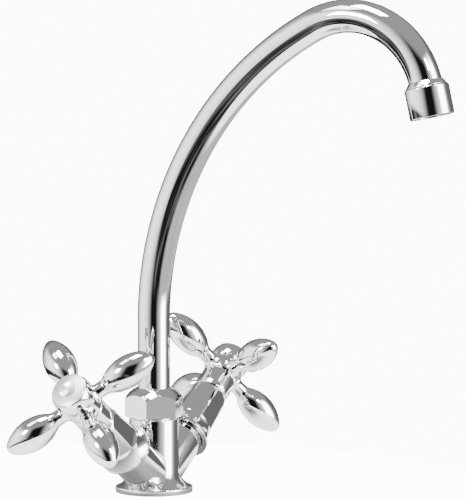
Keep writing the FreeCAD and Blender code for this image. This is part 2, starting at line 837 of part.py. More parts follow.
def make_button(name, frame):
    """Domed index button whose spigot plugs the hub's front bore."""
    rim = d.button_diameter / 2
    spigot = d.hub_front_bore_diameter / 2 - d.thread_clearance
    ball = d.hub_ball_diameter / 2
    front = d.hub_front_diameter / 2
    seat = handle_reach + d.hub_ball_centre + root(ball * ball - front * front)
    dome_radius = (rim * rim + d.button_dome * d.button_dome) / (2 * d.button_dome)
    body = turned_body(f"{name}_index_button", [
        (0, seat - d.button_spigot_length),
        (spigot, seat - d.button_spigot_length),
        (spigot, seat),
        (rim, seat),
        (rim, seat + d.button_edge, dome_radius, -1),
        (0, seat + d.button_edge + d.button_dome)])
    body.Placement = frame
    return body


def make_screw(name, frame):
    """Handle screw: pan head in the hub's front bore, shank in the spindle."""
    seat = handle_reach + d.hub_core_front
    shank = d.screw_diameter / 2
    head = d.screw_head_diameter / 2
    body = turned_body(f"{name}_handle_screw", [
        (0, handle_reach - d.screw_length),
        (shank, handle_reach - d.screw_length),
        (shank, seat),
        (head, seat),
        (head, seat + d.screw_head_height / 2),
        (d.screw_head_top_diameter / 2, seat + d.screw_head_height),
        (0, seat + d.screw_head_height)])
    body.Placement = frame
    return body


def make_handle_set(name, side):
    """Everything that turns with one handle."""
    frame = branch_frame(side)
    phase = d.handle_turn_hot if side < 0 else d.handle_turn_cold
    turned = branch_frame(side, phase.value)
    clip_low = valve_top + 2 * d.axial_clearance
    clip_high = clip_low + d.circlip_thickness
    clip_bore = d.spindle_diameter - 2 * d.circlip_groove + d.fit_clearance
    clip = ring(f"{name}_circlip", clip_bore, clip_bore + 2 * d.circlip_width, clip_low, clip_high)
    clip.Placement = frame
    ring_radius = (d.spindle_diameter - d.o_ring_section) / 2
    o_rings = torus_ring(f"{name}_spindle_o_rings", ring_radius, spindle_ring_heights())
    o_rings.Placement = frame
    return [
        make_cross_handle(name, turned), make_button(name, frame), make_screw(name, frame),
        make_spindle(name, turned), o_rings, clip,
        make_disc(f"{name}_upper_disc", upper_disc_low, frame)]


# ---------------------------------------------------------------- swivelling spout
def tube_path_corners():
    """The tube's centre line: a rise, a long arc and a short arc."""
    first = d.tube_long_turn
    whole = d.tube_long_turn + d.tube_short_turn
    knee_across = d.tube_long_radius * (as_size(1) - cosine(first))
    knee_up = d.tube_rise + d.tube_long_radius * sine(first)
    end_across = knee_across + d.tube_short_radius * (cosine(first) - cosine(whole))
    end_up = knee_up + d.tube_short_radius * (sine(whole) - sine(first))
    return [
        (0, 0),
        (0, d.tube_rise, d.tube_long_radius, 1),
        (knee_across, knee_up, d.tube_short_radius, 1),
        (end_across, end_up)]


def spout_frame():
    """Placement of pieces drawn upward from the tube's foot and reaching along local Y."""
    return Placement(Vector(0, 0, tube_foot.value), Rotation(Vector(0, 0, 1), 180.0))


def outlet_frame():
    """Placement whose Z axis runs out of the tube's end, the way the water leaves."""
    across, up = tube_path_corners()[-1]
    heading = d.tube_long_turn.value + d.tube_short_turn.value
    end = Vector(0, -across.value, tube_foot.value + up.value)
    return Placement(end, Rotation(Vector(1, 0, 0), heading))


def make_tube():
    """Bent tube, swept along its centre line with its bore open."""
    body = new_body("spout_tube")
    path = draw(new_sketch(body, "path", "YZ_Plane"), tube_path_corners(), closed=False)
    section = new_sketch(body, "section", "XY_Plane")
    draw_circle(section, d.tube_diameter)
    draw_circle(section, tube_bore_diameter)
    pipe = body.newObject("PartDesign::AdditivePipe", "spout_tube_pipe")
    pipe.Profile = section
    pipe.Spine = (path, ["Edge1", "Edge2", "Edge3"])
    body.Placement = spout_frame()
    return body


def spigot_ring_heights():
    """Heights of the spigot's two O-rings."""
    first = neck_top - d.spigot_ring_depth
    return [first, first + d.spigot_ring_spacing]


def make_spigot():
    """Brass bush in the tube's foot: socket end above, bearing flange, and a sealing spigot below."""
    spigot = d.spout_bore_diameter / 2 - d.running_clearance
    groove = spigot - d.o_ring_section
    bore = d.spigot_bore_diameter / 2
    foot = neck_top - d.spigot_length
    outline = [(bore, foot), (spigot, foot)]
    for height in spigot_ring_heights():
        groove_low = height - d.o_ring_groove_width / 2
        groove_high = height + d.o_ring_groove_width / 2
        outline += [(spigot, groove_low), (groove, groove_low)]
        outline += [(groove, groove_high), (spigot, groove_high)]
    flange = d.spigot_flange_diameter / 2
    socket = tube_bore_diameter / 2 - d.thread_clearance
    outline += [
        (spigot, spigot_flange_low),
        (flange, spigot_flange_low),
        (flange, tube_foot),
        (socket, tube_foot),
        (socket, tube_foot + d.spigot_socket_length),
        (bore, tube_foot + d.spigot_socket_length)]
    return turned_body("spout_spigot", outline)


def make_outlet():
    """Ferrule on the tube's end, and the aerator screwed on it, drawn along the flow."""
    frame = outlet_frame()
    tube = d.tube_diameter / 2
    collar = d.ferrule_collar_diameter / 2
    thread = d.ferrule_thread_diameter / 2
    collar_low = d.ferrule_collar_height * -1
    bore = tube_bore_diameter / 2
    end_gap = d.thread_clearance
    tube_end = as_size(0)
    ferrule = turned_body("outlet_ferrule", [
        (tube + end_gap, collar_low),
        (tube + end_gap + d.ferrule_collar_edge, collar_low),
        (collar, tube_end),
        (thread, tube_end),
        (thread, d.ferrule_thread_length),
        (bore, d.ferrule_thread_length),
        (bore, end_gap),
        (tube + end_gap, end_gap)])
    housing = d.housing_diameter / 2
    thread_bore = thread + end_gap
    washer_low = d.ferrule_thread_length
    washer_high = washer_low + d.aerator_washer_thickness
    cavity_end = d.housing_length - d.housing_lip
    cavity = d.housing_bore_diameter / 2
    lip = d.housing_lip_bore_diameter / 2
    shell = turned_body("aerator_housing", [
        (thread_bore, end_gap),
        (housing - d.housing_edge, end_gap),
        (housing, end_gap + d.housing_edge),
        (housing, d.housing_length - d.housing_edge),
        (housing - d.housing_edge, d.housing_length),
        (lip, d.housing_length),
        (lip, cavity_end),
        (cavity, cavity_end),
        (cavity, washer_high),
        (thread_bore, washer_high)])
    washer = ring("aerator_washer", tube_bore_diameter, d.ferrule_thread_diameter, washer_low, washer_high)
    pieces = [ferrule, shell, washer, make_insert(cavity_end), make_screen(cavity_end)]
    for piece in pieces:
        piece.Placement = frame
    return pieces


def make_insert(cavity_end):
    """Aerator insert: an open ring with crossed ribs, resting on the housing's lip."""
    body = new_body("aerator_insert")
    outer = d.housing_bore_diameter - 2 * d.fit_clearance
    inner = outer - 2 * d.insert_wall
    sketch = new_sketch(body, "wall", "XY_Plane", cavity_end - d.insert_height)
    draw_circle(sketch, outer)
    draw_circle(sketch, inner)
    extrude(body, "ring_pad", sketch, d.insert_height)
    half = d.insert_ribs_wide / 2
    reach = inner / 2 + d.insert_wall / 2
    for index, (across, up) in enumerate(((reach, half), (half, reach)), start=1):
        rib = new_sketch(body, f"rib_{index}", "XY_Plane", cavity_end - d.insert_height / 2)
        draw(rib, [(across * -1, up * -1), (across, up * -1), (across, up), (across * -1, up)])
        extrude(body, f"rib_pad_{index}", rib, d.insert_height / 2)
    return body


def make_screen(cavity_end):
    """Perforated screen above the insert."""
    low = cavity_end - d.insert_height - d.screen_thickness
    body = new_body("aerator_screen")
    disc = new_sketch(body, "disc", "XY_Plane", low)
    draw_circle(disc, d.housing_bore_diameter - 2 * d.fit_clearance)
    draw_circle(disc, d.screen_hole_diameter)
    extrude(body, "disc_pad", disc, d.screen_thickness)
    hole_sketch = new_sketch(body, "hole", "XY_Plane", low + d.screen_thickness)
    draw_circle(hole_sketch, d.screen_hole_diameter, d.screen_hole_circle / 2, 0)
    hole = extrude(body, "hole_pocket", hole_sketch, d.screen_thickness, "Pocket")
    doc.recompute()
    polar_pattern(body, hole, SCREEN_HOLE_COUNT)
    return body


def make_spout():
    """Everything that turns with the spout."""
    groove = d.spout_bore_diameter / 2 - d.running_clearance - d.o_ring_section / 2
    o_rings = torus_ring("spout_o_rings", groove, spigot_ring_heights())
    return [make_tube(), make_spigot(), o_rings, *make_outlet()]


# ---------------------------------------------------------------- build, check and write
def check(pieces):
    """Stop if any object failed or any piece lacks a sound solid."""
    for item in doc.Objects:
        if "Invalid" in item.State or "Error" in item.State:
            raise RuntimeError(f"{item.Name} failed: {item.State}")
    for piece in pieces:
        if piece.Shape.isNull() or not piece.Shape.isValid() or not piece.Shape.Solids:
            raise RuntimeError(f"{piece.Label} has no sound shape")


def main():
    """Build every piece and write one file for each."""
    pieces = [make_body_casting(), make_spout_nut(), *make_root_rings()]
    for name, side in SIDES:
        pieces += make_valve(name, side)
        pieces += make_handle_set(name, side)
    pieces += make_spout()
    doc.recompute()
    check(pieces)
    os.makedirs("parts", exist_ok=True)
    for piece in pieces:
        piece.Shape.exportStep(f"parts/{piece.Label}.step")
        print(f"{piece.Label}: {len(piece.Shape.Solids)} solid, {piece.Shape.Volume:.1f} mm3")
    print(f"{len(pieces)} pieces")


main()
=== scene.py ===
"""Looks of a two handle kitchen faucet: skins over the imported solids, a plain studio, a camera."""
import json
import math

import bmesh
import bpy
from mathutils import Matrix, Vector


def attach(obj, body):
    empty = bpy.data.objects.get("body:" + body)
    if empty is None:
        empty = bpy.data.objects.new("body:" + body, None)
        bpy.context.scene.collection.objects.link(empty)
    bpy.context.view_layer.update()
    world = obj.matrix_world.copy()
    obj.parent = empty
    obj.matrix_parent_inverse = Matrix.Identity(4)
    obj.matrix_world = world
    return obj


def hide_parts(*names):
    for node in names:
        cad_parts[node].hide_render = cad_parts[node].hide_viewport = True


bl_info = {
    "name": "Two handle kitchen faucet",
    "version": (1, 0, 0),
    "blender": (4, 5, 0),
    "location": "View3D > Sidebar > Faucet",
    "description": "Builds the visible pieces of a two handle kitchen faucet",
    "category": "Object",
}

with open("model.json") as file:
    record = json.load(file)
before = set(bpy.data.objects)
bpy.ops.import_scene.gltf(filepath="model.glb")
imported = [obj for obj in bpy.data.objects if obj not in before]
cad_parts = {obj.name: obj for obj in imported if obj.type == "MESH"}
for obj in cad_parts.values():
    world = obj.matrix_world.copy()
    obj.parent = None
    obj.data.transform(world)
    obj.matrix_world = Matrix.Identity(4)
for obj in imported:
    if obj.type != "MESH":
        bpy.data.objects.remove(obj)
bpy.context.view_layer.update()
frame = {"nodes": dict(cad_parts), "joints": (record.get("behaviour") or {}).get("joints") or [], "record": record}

MM = 0.001
UP = Vector((0, 0, 1))
SIDES = ("hot", "cold")

# How round shapes are drawn: steps of a full circle, the distance in metres at which points become
# one, and the length below which an edge is dropped.
TURN_STEPS = 128
LOBE_STEPS = 72
WELD = 1e-6
SLIVER = 1e-7
# The side of its chord that an arc bulges to, seen from its start.
LEFT = 1
RIGHT = -1

# Sizes in millimetres and degrees. On the column, heights are above the deck. On a branch, they
# run out from the origin of the handle's joint.
# Deck body.
FLANGE_RADIUS = 24.0
FLANGE_LIP = 3.8
FLANGE_LEDGE = 0.9
FLARE_TOP = 12.1
FLARE_BEND = 14.0
COLUMN_RADIUS = 15.5
COLUMN_HEIGHT = 46.0
NECK_RADIUS = 13.5
NECK_TOP = 56.0
BRANCH_RADIUS = 13.5
BRANCH_LENGTH = 44.0

# Spout nut. Its stock is wider than its corners, so that the flats are cut all round.
NUT_FOOT = 47.0
NUT_TOP = 65.0
NUT_CEILING = 60.6
NUT_SIDES = 6
NUT_FLATS = 32.5
NUT_TURN = 16.0
NUT_STOCK = 0.3
NUT_CHAMFER_WIDTH = 0.9
NUT_CHAMFER_HEIGHT = 1.2
NUT_DOME_DROP = 7.7
NUT_DOME_BEND = 20.0
NUT_LIP = 0.9
NUT_TUBE_GAP = 0.1
NUT_NECK_GAP = 0.05
NUT_CUT_MARGIN = 5.0

# Bonnet shrouds: a rim, a bell, long flats and a crown round the spindle.
SHROUD_FOOT = 42.0
SHROUD_TOP = 83.0
SHROUD_RIM_RADIUS = 16.8
SHROUD_RIM_HEIGHT = 2.2
SHROUD_BELL_RADIUS = 16.3
SHROUD_BELL_HEIGHT = 10.0
SHROUD_BELL_BEND = 15.0
SHROUD_WAIST_RADIUS = 13.7
SHROUD_SHOULDER_RADIUS = 12.3
SHROUD_SHOULDER_DROP = 3.6
SHROUD_CROWN_RADIUS = 10.0
SHROUD_CROWN_BEND = 7.0
SHROUD_MOUTH_RADIUS = 14.0
SHROUD_MOUTH_TOP = 44.0
SHROUD_VALVE_RADIUS = 12.2
SHROUD_CONE_FOOT = 50.1
SHROUD_CONE_TOP = 52.4
SHROUD_BORE = 10.0
SHROUD_CEILING = 78.0
SHROUD_SPINDLE_HOLE = 7.55
SHROUD_FLATS = 6
SHROUD_FLAT_RISE = 11.0
SHROUD_FLAT_FOOT_RADIUS = 12.2
SHROUD_FLAT_TOP_RADIUS = 11.1
SHROUD_PHASE = {"hot": 9.5, "cold": -9.5}
SHROUD_CUT_RADIUS = 30.0
SHROUD_CUT_MARGIN = 4.0
SHROUD_CUT_TOP_RADIUS = 11.0

# Cross handles: a collar, a groove, a barrel and a ball on the branch, with lobes across it.
HANDLE_REACH = 104.5
HANDLE_PHASE = {"hot": 42.3, "cold": 61.0}
HUB_BACK = 85.5
HUB_BORE = 9.0
HUB_SHROUD_GAP = 0.35
COLLAR_MOUTH_RADIUS = 10.9
COLLAR_RADIUS = 11.2
COLLAR_START = 0.7
COLLAR_END = 12.0
GROOVE_RADIUS = 10.3
GROOVE_START = 12.9
BARREL_RADIUS = 11.5
BARREL_START = 13.8
BARREL_END = 4.3
BALL_CENTRE = 114.5
BALL_RADIUS = 12.7
BALL_BACK_RADIUS = 10.3
BALL_FRONT_RADIUS = 11.2
WELL_RADIUS = 7.0
WELL_FLOOR = 4.0
SCREW_HOLE = 2.6
SPINDLE_SOCKET = 7.5

# Lobes: radii are about the lobe's own axis, lengths from the handle's.
LOBE_ROOT = 9.2
LOBE_FLARE_START = 10.4
LOBE_FLARE_STRETCH = 2.2
LOBE_NECK = 4.8
LOBE_BLEND_BEND = 6.0
LOBE_BACK_BEND = 26.0
LOBE_WIDE = 9.9
LOBE_WIDEST = 34.0
LOBE_TIP = 52.6
LOBE_TIP_BEND = 5.2

# Index buttons.
BUTTON_STEM_RADIUS = 6.95
BUTTON_STEM_LENGTH = 4.0
BUTTON_RADIUS = 10.6
BUTTON_EDGE = 0.8
BUTTON_DOME = 0.9
BUTTON_HOLLOW = 0.8

# Spout tube. A short first rise keeps the foot's shading level.
TUBE_RADIUS = 10.1
TUBE_WALL = 1.2
TUBE_FOOT = 59.55
TUBE_FIRST_RISE = 0.5
TUBE_RISE = 47.0
TUBE_LONG_BEND = 207.0
TUBE_LONG_TURN = 62.5
TUBE_SHORT_BEND = 52.5
TUBE_SHORT_TURN = 104.5
TUBE_SIDES = 96
TUBE_BEND_STEPS = 72

# Outlet. Heights run out of the tube's end, the way the water leaves.
FERRULE_TUBE_GAP = 0.05
FERRULE_COLLAR_RADIUS = 12.5
FERRULE_COLLAR_HEIGHT = 3.2
FERRULE_COLLAR_LIP = 0.2
FERRULE_COLLAR_EDGE = 0.1
FERRULE_THREAD_RADIUS = 12.0
FERRULE_LENGTH = 8.0
FERRULE_BORE = 8.9
FERRULE_STOP = 0.05
HOUSING_BACK = 0.1
HOUSING_RADIUS = 13.5
HOUSING_LENGTH = 18.6
HOUSING_BEVEL = 0.8
HOUSING_THREAD_RADIUS = 12.05
HOUSING_THREAD_END = 9.6
HOUSING_BORE = 11.0
HOUSING_MOUTH_RADIUS = 9.8
HOUSING_MOUTH_DEPTH = 1.2

# Finishes: a main colour and the one that its patches turn to.
BRASS = ((0.80, 0.60, 0.27), (0.58, 0.41, 0.17))
STAINLESS = ((0.62, 0.62, 0.63), (0.5, 0.5, 0.52))
CERAMIC = ((0.86, 0.84, 0.79), (0.62, 0.6, 0.55))
RUBBER = ((0.018, 0.018, 0.02), (0.05, 0.05, 0.052))
SLIP_PLASTIC = ((0.82, 0.82, 0.79), (0.7, 0.7, 0.67))
INSERT_PLASTIC = ((0.62, 0.63, 0.65), (0.5, 0.51, 0.53))
WIPING_SCALE = (260.0, 260.0, 2600.0)
FINE_RELIEF = 0.0001
PLATE_RELIEF = 0.0004
NODE_SHARP_ANGLE = 30.0
SKIN_SHARP_ANGLE = 32.0

# The camera's own directions, its distance in metres, its focal length in pixels and what it looks
# at, right of and above the origin in metres, from the fit to the photograph.
VIEW_AZIMUTH = math.radians(-60.68)
VIEW_ELEVATION = math.radians(5.15)
VIEW_BACK = Vector((
    math.sin(VIEW_AZIMUTH) * math.cos(VIEW_ELEVATION),
    -math.cos(VIEW_AZIMUTH) * math.cos(VIEW_ELEVATION),
    math.sin(VIEW_ELEVATION)))
VIEW_RIGHT = UP.cross(VIEW_BACK).normalized()
VIEW_UP = VIEW_BACK.cross(VIEW_RIGHT)
CAMERA_DISTANCE = 2.265
CAMERA_FOCAL_PIXELS = 3649.0
CAMERA_AIM_RIGHT = 0.04866
CAMERA_AIM_UP = 0.1496
SENSOR_WIDTH = 36.0
IMAGE_HEIGHT = 500.0

# The studio's walls: bearing from the viewer (right is positive), half width and fade of each soft
# panel in degrees, and its strength.
PANELS = ((-82.0, 6.0, 64.0, 3.4), (71.0, 9.0, 16.0, 16.0), (64.0, 0.0, 52.0, 2.4))
# Strengths of the gap behind the viewer, the far walls, the ceiling, the blotches below and the
# depth at the right, and of what the viewer sees as the background.
GAP_LIGHT = 0.014
WALL_LIGHT = 0.2
CEILING_LIGHT = 0.52
DEPTH_LIGHT = 0.3
DEPTH_RIGHT_LIGHT = 0.9
BACKGROUND_LIGHT = 14.0
# Where the light changes: bearings in degrees, then heights of a direction of length one.
WALL_BEARINGS = (60, 100)
DEPTH_RIGHT_BEARINGS = (20, 45)
CEILING_HEIGHTS = (0.42, 0.68)
DEPTH_HEIGHTS = (-0.24, -0.16)
# The floor, in metres. Seen in mirrors it glows with painted light, painted darker near the base
# as a painted contact shadow.
FLOOR_RADIUS = 0.22
FLOOR_FADE = (0.88, 0.99)
FLOOR_SHADE = 0.2
FLOOR_PAINTED_LIGHT = 3.0
FLOOR_PAINTED_SHADOW_REACH = (0.04, 0.1)
# Soft boxes: name, bearing and elevation in degrees, distance and size in metres, power in watts.
SOFT_BOXES = (
    ("box_left", -52, 24, 2.0, 0.42, 40.0),
    ("box_right", 46, 34, 2.2, 0.34, 35.0),
    ("box_high_left", -72, 56, 2.0, 0.62, 9.0),
    ("box_top", -50, 80, 1.8, 0.7, 50.0))
LIGHT_AIM = Vector((0, -0.03, 0.08))


# ------------------------------------------------------------------ what a user may change
class FaucetSizes(bpy.types.PropertyGroup):
    """Small shapes that the solids leave plain."""

    neck_flare: bpy.props.FloatProperty(
        name="Neck flare", description="How far a lobe's neck widens where it meets the hub",
        default=1.6 * MM, unit="LENGTH")
    dimple_radius: bpy.props.FloatProperty(
        name="Dimple radius", description="Radius of the shallow dimple in each index button",
        default=5.0 * MM, unit="LENGTH")


class FaucetColours(bpy.types.PropertyGroup):
    """Colours of the finishes and the floor."""

    chrome: bpy.props.FloatVectorProperty(
        name="Chrome", description="Colour of the chrome plate", subtype="COLOR",
        default=(0.82, 0.82, 0.83), min=0, max=1)
    button: bpy.props.FloatVectorProperty(
        name="Button", description="Colour of the index buttons", subtype="COLOR",
        default=(0.93, 0.93, 0.93), min=0, max=1)
    floor: bpy.props.FloatVectorProperty(
        name="Floor", description="Colour of the studio floor", subtype="COLOR",
        default=(0.9, 0.9, 0.9), min=0, max=1)


def sizes():
    """The size settings of this scene."""
    return bpy.context.scene.faucet_sizes


def colours():
    """The colour settings of this scene."""
    return bpy.context.scene.faucet_colours


# ------------------------------------------------------------------ shader arithmetic
class Signal:
    """A shader value that takes part in Python arithmetic by adding Math nodes."""

    def __init__(self, paint, socket):
        self.paint = paint
        self.socket = socket

    def math(self, operation, *others):
        """One Math node on this value and the others."""
        values = dict(enumerate((self, *others)))
        return self.paint.add("ShaderNodeMath", {"operation": operation}, values)

    def step(self, low, high):
        """A smooth rise from 0 at low to 1 at high."""
        settings = {"interpolation_type": "SMOOTHSTEP"}
        return self.paint.add("ShaderNodeMapRange", settings, {0: self, 1: low, 2: high})

    def __add__(self, other):
        return self.math("ADD", other)

    def __sub__(self, other):
        return self.math("SUBTRACT", other)

    def __rsub__(self, other):
        return self.paint.value(other).math("SUBTRACT", self)

    def __mul__(self, other):
        return self.math("MULTIPLY", other)

    __radd__ = __add__
    __rmul__ = __mul__


class Paint:
    """Nodes of one material or world."""

    def __init__(self, tree):
        self.tree = tree
        tree.nodes.clear()

    def node(self, kind, settings=None, values=None):
        """A node with its settings made first, then the values or links of its sockets."""
        made = self.tree.nodes.new(kind)
        for name, setting in (settings or {}).items():
            setattr(made, name, setting)
        for place, value in (values or {}).items():
            self.feed(made.inputs[place], value)
        return made

    def feed(self, socket, value):
        """Link a signal or set a plain value."""
        if isinstance(value, Signal):
            self.tree.links.new(value.socket, socket)
        elif socket.type == "RGBA" and len(value) == 3:
            socket.default_value = (*value, 1)
        else:
            socket.default_value = value

    def add(self, kind, settings=None, values=None, output=0):
        """A node and one of its outputs as a signal."""
        return Signal(self, self.node(kind, settings, values).outputs[output])

    def value(self, number):
        """A plain number as a signal, for arithmetic that starts with it."""
        return self.add("ShaderNodeMath", {"operation": "ADD"}, {0: number, 1: 0.0})

    def place(self):
        """The piece's own Object coordinates."""
        return self.add("ShaderNodeTexCoord", output="Object")

    def noise(self, scale, detail=2.0, where=None, roughness=0.5):
        """Soft noise between 0 and 1."""
        return self.add("ShaderNodeTexNoise", {}, {
            "Vector": where or self.place(), "Scale": scale, "Detail": detail,
            "Roughness": roughness})

    def mix(self, share, first, second):
        """A colour that goes from the first to the second as the share rises."""
        values = {0: share, 6: first, 7: second}
        return self.add("ShaderNodeMix", {"data_type": "RGBA"}, values, output=2)

    def seen_or_lit(self, seen, lit):
        """One brightness for what the viewer looks at, another for what lights and mirrors it."""
        looked_at = self.add("ShaderNodeLightPath", output="Is Camera Ray")
        return looked_at * seen + (1 - looked_at) * lit

    def bump(self, height, strength, distance=FINE_RELIEF):
        """A surface normal raised by a height."""
        return self.add("ShaderNodeBump", {}, {
            "Strength": strength, "Distance": distance, "Height": height})

    def shade(self, sockets):
        """The surface shader and the material's output."""
        shader = self.node("ShaderNodeBsdfPrincipled", {}, sockets)
        self.node("ShaderNodeOutputMaterial", {}, {"Surface": Signal(self, shader.outputs[0])})


def new_material(name):
    """A node material and its still empty paint."""
    material = bpy.data.materials.new(name)
    material.use_nodes = True
    return material, Paint(material.node_tree)


def tint(colour, factor):
    """A colour made darker or lighter by a factor."""
    return tuple(min(1.0, channel * factor) for channel in colour)


# ------------------------------------------------------------------ finishes
def chrome_plate(paint, waviness, polish):
    """Chrome plate: faint waves of the metal beneath, wiping marks, haze of dried water, pits."""
    plate = tuple(colours().chrome)
    wave = paint.noise(38.0, detail=1.0)
    stretch = paint.add(
        "ShaderNodeMapping", {}, {"Vector": paint.place(), "Scale": WIPING_SCALE})
    wiping = paint.noise(1.0, detail=4.0, where=stretch, roughness=0.6)
    haze = paint.noise(120.0, detail=3.0).step(0.52, 0.78)
    pits = paint.noise(2100.0, detail=1.0).step(0.74, 0.82)
    colour = paint.mix(haze * 0.35 + pits * 0.25, plate, tint(plate, 0.88))
    roughness = polish + haze * 0.035 + wiping.step(0.45, 0.8) * 0.03
    height = wave * waviness + wiping * 0.012 - pits * 0.05
    paint.shade({
        "Base Color": colour, "Metallic": 1.0, "Roughness": roughness,
        "Normal": paint.bump(height, strength=0.25, distance=PLATE_RELIEF)})


def turned_brass(paint):
    """Machined brass with fine tool marks and dull patches."""
    patches = paint.noise(180.0, detail=3.0)
    marks = paint.noise(5200.0)
    paint.shade({
        "Base Color": paint.mix(patches.step(0.35, 0.75), *BRASS), "Metallic": 1.0,
        "Roughness": 0.22 + patches * 0.2, "Normal": paint.bump(marks, strength=0.2)})


def bright_stainless(paint):
    """Stainless steel of screws, clips and the screen."""
    grain = paint.noise(3600.0)
    patches = paint.noise(240.0)
    paint.shade({
        "Base Color": paint.mix(patches.step(0.4, 0.7), *STAINLESS), "Metallic": 1.0,
        "Roughness": 0.25 + grain * 0.15, "Normal": paint.bump(grain, strength=0.2)})


def lapped_ceramic(paint):
    """Off-white ceramic with fine speckle."""
    speckle = paint.noise(1900.0).step(0.62, 0.72)
    cloud = paint.noise(150.0)
    paint.shade({
        "Base Color": paint.mix(speckle * 0.5, *CERAMIC),
        "Roughness": 0.12 + cloud * 0.12, "Normal": paint.bump(cloud, strength=0.1)})


def seal_rubber(paint):
    """Black rubber with a dusty bloom."""
    bloom = paint.noise(320.0, detail=4.0)
    skin = paint.noise(4200.0)
    paint.shade({
        "Base Color": paint.mix(bloom.step(0.4, 0.75), *RUBBER),
        "Roughness": 0.55 + bloom * 0.25, "Normal": paint.bump(skin, strength=0.35)})


def moulded_plastic(paint, colour_pair):
    """Matte moulded plastic with flow marks."""
    flow = paint.noise(210.0, detail=3.0)
    skin = paint.noise(3800.0)
    paint.shade({
        "Base Color": paint.mix(flow.step(0.35, 0.75), *colour_pair),
        "Roughness": 0.4 + flow * 0.2, "Normal": paint.bump(skin, strength=0.2)})


def satin_button(paint):
    """Index button: pale satin plate with faint clouds and a soft sheen."""
    pale = tuple(colours().button)
    cloud = paint.noise(260.0, detail=3.0)
    grain = paint.noise(2600.0, detail=3.0)
    paint.shade({
        "Base Color": paint.mix(cloud.step(0.45, 0.8), pale, tint(pale, 0.86)), "Metallic": 0.9,
        "Roughness": 0.2 + grain * 0.1, "Normal": paint.bump(grain, strength=0.15)})


FINISHES = {
    "chrome": lambda paint: chrome_plate(paint, waviness=0.3, polish=0.03),
    "cast_chrome": lambda paint: chrome_plate(paint, waviness=0.8, polish=0.045),
    "brass": turned_brass,
    "stainless": bright_stainless,
    "ceramic": lapped_ceramic,
    "seal_rubber": seal_rubber,
    "slip_plastic": lambda paint: moulded_plastic(paint, SLIP_PLASTIC),
    "insert_plastic": lambda paint: moulded_plastic(paint, INSERT_PLASTIC),
    "button_white": satin_button,
}


def finish(name):
    """A finish, made once. Its label keeps it apart from the frame's own plain materials."""
    label = f"{name}_finish"
    if label not in bpy.data.materials:
        _, paint = new_material(label)
        FINISHES[name](paint)
    return bpy.data.materials[label]


# ------------------------------------------------------------------ shapes
def only(kind, items):
    """The vertices or edges among what a bmesh operator made."""
    return [item for item in items if isinstance(item, kind)]


def cap_bend(half, rise):
    """Radius of an arc that rises by so much over half its chord."""
    return (half * half + rise * rise) / (2 * rise)


class Outline:
    """A half section drawn point by point, radius along X and height along Z, in millimetres."""

    def __init__(self, radius, height, soft=0.0):
        self.mesh = bmesh.new()
        self.here = self.mesh.verts.new((radius * MM, 0, height * MM))
        self.start = self.here
        self.corners = [(self.here, soft)]

    def line(self, radius, height, soft=0.0):
        """A straight edge to the next corner, which is rounded by soft."""
        made = bmesh.ops.extrude_vert_indiv(self.mesh, verts=[self.here])
        self.here = made["verts"][0]
        self.here.co = (radius * MM, 0, height * MM)
        self.corners.append((self.here, soft))
        return self

    def arc(self, radius, height, bend, side, soft=0.0, steps=12):
        """An arc to the next corner, with a radius of bend, that bulges to a side."""
        start = self.here.co.copy()
        goal = Vector((radius * MM, 0, height * MM))
        chord = goal - start
        leftward = Vector((-chord.z, 0, chord.x)).normalized()
        depth = math.sqrt(max(0.0, (bend * MM) ** 2 - (chord.length / 2) ** 2))
        centre = (start + goal) / 2 - leftward * (side * depth)
        sweep = -side * 2 * math.asin(min(1.0, chord.length / (2 * bend * MM)))
        made = bmesh.ops.spin(
            self.mesh, geom=[self.here], cent=centre, axis=(0, -1, 0), angle=sweep, steps=steps)
        self.here = only(bmesh.types.BMVert, made["geom_last"])[0]
        self.here.co = goal
        self.corners.append((self.here, soft))
        return self

    def closed(self):
        """Join the last corner to the first."""
        self.mesh.edges.new((self.here, self.start))
        return self

    def soften(self):
        """Round the corners that ask for it, the smallest roundings first."""
        for radius in sorted({soft for _, soft in self.corners if soft > 0}):
            chosen = [
                corner for corner, soft in self.corners if soft == radius and corner.is_valid]
            bmesh.ops.bevel(
                self.mesh, geom=chosen, offset=radius * MM, offset_type="OFFSET", segments=4,
                profile=0.5, affect="VERTICES", material=-1, clamp_overlap=True)

    def turned(self, steps=TURN_STEPS, axis=UP):
        """Spin the softened section full circle about an axis and return the mesh."""
        self.soften()
        shape = self.mesh
        bmesh.ops.spin(
            shape, geom=list(shape.verts) + list(shape.edges), cent=(0, 0, 0), axis=axis,
            angle=math.tau, steps=steps, use_merge=True)
        bmesh.ops.remove_doubles(shape, verts=shape.verts, dist=WELD)
        bmesh.ops.dissolve_degenerate(shape, edges=shape.edges, dist=SLIVER)
        bmesh.ops.recalc_face_normals(shape, faces=shape.faces)
        return shape


def smooth_with_edges(mesh, sharp):
    """Shade a mesh smooth but for edges that are sharper than an angle."""
    mesh.shade_smooth()
    mesh.set_sharp_from_angle(angle=math.radians(sharp))


def new_piece(name, shape, finish_name, body, nodes, sharp=SKIN_SHARP_ANGLE):
    """A finished object from a bmesh, riding on its body in place of its CAD nodes."""
    mesh = bpy.data.meshes.new(name)
    shape.to_mesh(mesh)
    shape.free()
    mesh.materials.append(finish(finish_name))
    smooth_with_edges(mesh, sharp)
    piece = bpy.data.objects.new(name, mesh)
    bpy.context.scene.collection.objects.link(piece)
    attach(piece, body)
    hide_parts(*nodes)
    return piece


